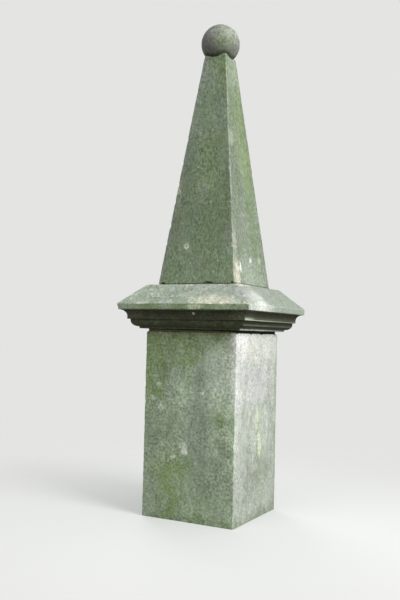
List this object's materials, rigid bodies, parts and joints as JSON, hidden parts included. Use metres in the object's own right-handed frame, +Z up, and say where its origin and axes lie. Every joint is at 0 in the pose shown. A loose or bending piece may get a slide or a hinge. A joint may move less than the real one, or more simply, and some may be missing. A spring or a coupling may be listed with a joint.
{
  "type": "square stone obelisk",
  "caption": "Square stone obelisk: a plain die, a moulded cornice with a sloping top, a tapering shaft and a ball.",
  "frame": {"origin": "centre of the die's foot, at ground level", "axes": "+Z up the obelisk, -Y out of the front face, +X out of the right face"},
  "size_m": [0.72, 0.72, 2.52],
  "materials": {
    "die_stone": "weathered, with algae and rain streaks",
    "cornice_stone": "weathered, pale on top and sooty in the mouldings",
    "shaft_stone": "weathered, finely pitted, with green algae",
    "ball_stone": "weathered, with grey lichen",
    "mortar": "washed-out lime mortar"
  },
  "bodies": {
    "root": {"die": "die_stone", "die_bed": "mortar", "cornice": "cornice_stone", "shaft_bed": "mortar", "shaft": "shaft_stone", "ball_bed": "mortar", "ball": "ball_stone"}
  },
  "joints": []
}
